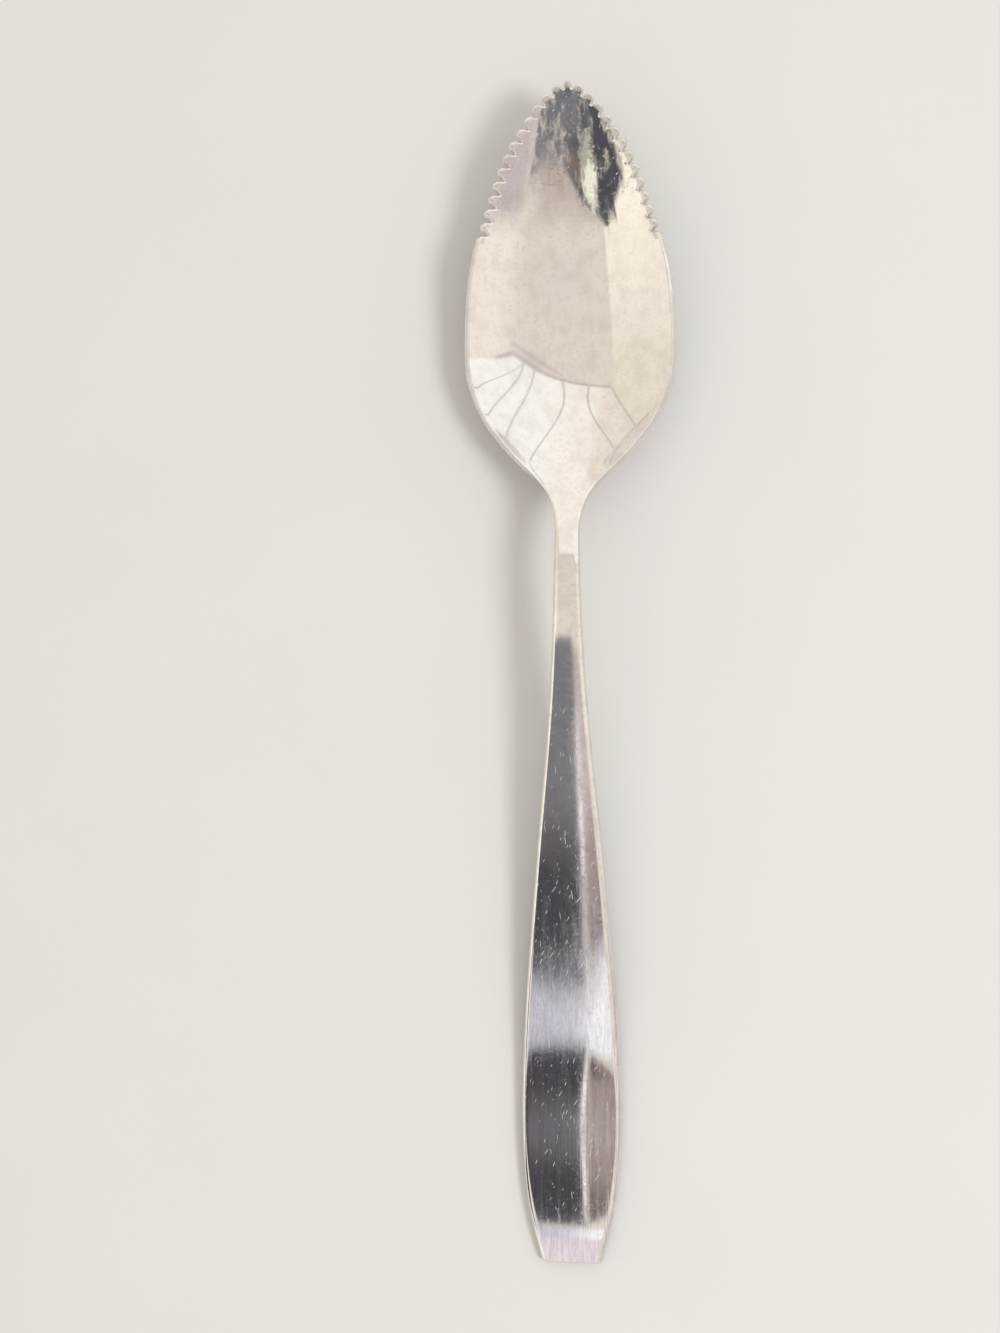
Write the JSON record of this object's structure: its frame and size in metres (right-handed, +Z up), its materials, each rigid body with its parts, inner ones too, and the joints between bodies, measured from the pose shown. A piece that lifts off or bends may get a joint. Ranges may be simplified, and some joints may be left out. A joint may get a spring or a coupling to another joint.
{
  "type": "grapefruit spoon",
  "caption": "Stamped stainless grapefruit spoon: a dished bowl with a toothed pointed tip, a narrow raised neck and a flat handle that widens and tapers to a blunt end",
  "frame": {"origin": "on the table, under the middle of the spoon's length and width", "axes": "+Y along the spoon towards the toothed tip, +Z up out of the open bowl, +X to the right seen from above"},
  "size_m": [0.0288, 0.16, 0.0108],
  "materials": {
    "ground_steel": "fine lengthwise grinding marks under a bright polish",
    "polished_steel": "polished nearly to a mirror, with faint wear",
    "satin_steel": "satin, finely brushed lengthwise, with small bright scratches"
  },
  "bodies": {
    "root": {"serrated_tip": "ground_steel", "bowl": "polished_steel", "neck": "polished_steel", "handle": "satin_steel", "handle_end": "satin_steel"}
  },
  "joints": []
}
